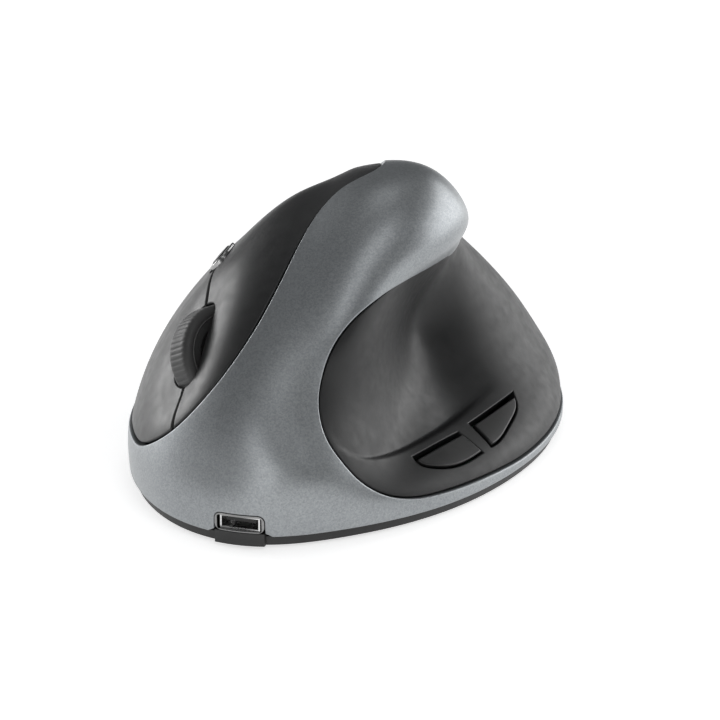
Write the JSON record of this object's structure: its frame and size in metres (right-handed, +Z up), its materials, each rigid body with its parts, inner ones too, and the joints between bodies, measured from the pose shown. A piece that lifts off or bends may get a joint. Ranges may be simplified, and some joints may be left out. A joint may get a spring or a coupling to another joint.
{
  "type": "computer mouse",
  "caption": "Upright ergonomic wireless mouse: sloping grey frame with two keys and a scroll wheel, dark thumb scoop with side buttons, charging socket in the nose, receiver stored in the base.",
  "frame": {"origin": "on the table under the middle of the outline", "axes": "+Z up, -Y towards the nose with the charging socket, +X towards the thumb side"},
  "size_m": [0.0768, 0.1077, 0.0583],
  "materials": {
    "silver_paint": "metallic silver-grey paint, fine flake, satin",
    "soft_black": "matte soft-touch coating",
    "key_grey": "fine-textured dark grey plastic",
    "button_black": "satin black plastic",
    "base_black": "spark-textured black plastic",
    "skate": "smooth low-friction plastic",
    "bright": "bright plated ring",
    "steel": "plain steel",
    "tin": "tinned stamped steel",
    "tyre": "ribbed rubber",
    "hub": "moulded black plastic",
    "board": "green solder mask",
    "chip": "black epoxy package",
    "frame_plastic": "moulded dark plastic",
    "white_plastic": "natural nylon",
    "lens": "clear moulded lens",
    "red_lens": "tinted clear epoxy",
    "foil": "laminated pouch foil",
    "tape": "foam tape",
    "label": "blank printed film"
  },
  "bodies": {
    "chassis": {"back_switch": "chip", "base_plate": "base_black", "base_screws": "steel", "battery": "foil", "battery_header": "white_plastic", "battery_tape": "tape", "board_screws": "steel", "capacitors": "white_plastic", "controller_chip": "chip", "crystal": "tin", "dpi_ring": "bright", "dpi_sleeve": "frame_plastic", "dpi_switch": "chip", "forward_switch": "chip", "frame_shell": "silver_paint", "front_foot": "skate", "hinge_pin": "steel", "key_board": "board", "key_bracket": "frame_plastic", "left_switch": "chip", "main_board": "board", "middle_switch": "chip", "palm_shell": "soft_black", "port_bezel": "bright", "power_switch": "chip", "rating_label": "label", "rear_foot": "skate", "receiver_dock": "frame_plastic", "right_switch": "chip", "sensor_chip": "chip", "sensor_led": "red_lens", "sensor_lens": "lens", "shell_posts": "frame_plastic", "side_board": "board", "side_bracket": "frame_plastic", "side_feet": "skate", "usb_shell": "tin", "usb_tongue": "chip", "wheel_board": "board", "wheel_stand": "frame_plastic"},
    "left_key": {"left_key": "key_grey"},
    "right_key": {"right_key": "key_grey"},
    "left_plunger": {"left_plunger": "white_plastic"},
    "right_plunger": {"right_plunger": "white_plastic"},
    "wheel_carrier": {"wheel_carrier": "frame_plastic", "wheel_encoder": "chip"},
    "wheel": {"wheel_hub": "hub", "wheel_tyre": "tyre", "wheel_axle": "steel"},
    "dpi_button": {"dpi_button": "button_black"},
    "forward_button": {"forward_button": "button_black"},
    "back_button": {"back_button": "button_black"},
    "power_slider": {"power_slider": "white_plastic"},
    "receiver": {"receiver_cap": "button_black", "receiver_plug": "tin", "receiver_tongue": "white_plastic"}
  },
  "joints": [
    {"name": "left_key_press", "type": "hinge", "parent": "chassis", "child": "left_key", "pos_m": [-0.02121, 0.0023, 0.02861], "axis": [0.6368, 0.0733, 0.7675], "range_deg": [0, 0.7], "stiffness_Nm_per_rad": 2, "springref_deg": -2.86},
    {"name": "right_key_press", "type": "hinge", "parent": "chassis", "child": "right_key", "pos_m": [-0.02121, 0.0023, 0.02861], "axis": [0.6368, 0.0733, 0.7675], "range_deg": [0, 0.7], "stiffness_Nm_per_rad": 2, "springref_deg": -2.86},
    {"name": "left_plunger_press", "type": "slide", "parent": "chassis", "child": "left_plunger", "axis": [0.7191, 0.2197, -0.6592], "range_m": [0, 0.0005]},
    {"name": "right_plunger_press", "type": "slide", "parent": "chassis", "child": "right_plunger", "axis": [0.7191, 0.2197, -0.6592], "range_m": [0, 0.0005]},
    {"name": "wheel_press", "type": "slide", "parent": "chassis", "child": "wheel_carrier", "axis": [0.6477, 0.5137, -0.5626], "range_m": [0, 0.0006], "stiffness_N_per_m": 1500, "springref_m": -0.0006},
    {"name": "wheel_spin", "type": "hinge", "parent": "wheel_carrier", "child": "wheel", "pos_m": [-0.01348, -0.03085, 0.02669], "axis": [0.7609, -0.4728, 0.4444], "continuous": true},
    {"name": "dpi_press", "type": "slide", "parent": "chassis", "child": "dpi_button", "axis": [0.7506, 0.0691, -0.6571], "range_m": [0, 0.0006], "stiffness_N_per_m": 900, "springref_m": -0.0005},
    {"name": "forward_press", "type": "slide", "parent": "chassis", "child": "forward_button", "axis": [-0.5594, 0.1798, -0.8092], "range_m": [0, 0.0006], "stiffness_N_per_m": 900, "springref_m": -0.0005},
    {"name": "back_press", "type": "slide", "parent": "chassis", "child": "back_button", "axis": [-0.5594, 0.1798, -0.8092], "range_m": [0, 0.0006], "stiffness_N_per_m": 900, "springref_m": -0.0005},
    {"name": "power_slide", "type": "slide", "parent": "chassis", "child": "power_slider", "axis": [0, 1, 0], "range_m": [0, 0.003]},
    {"name": "receiver_pull", "type": "slide", "parent": "chassis", "child": "receiver", "axis": [0, 0, -1], "range_m": [0, 0.019]}
  ],
  "couplings": [
    {"joint": "left_plunger_press", "follows": "left_key_press", "m_per_rad": 0.022926},
    {"joint": "right_plunger_press", "follows": "right_key_press", "m_per_rad": 0.015415}
  ]
}
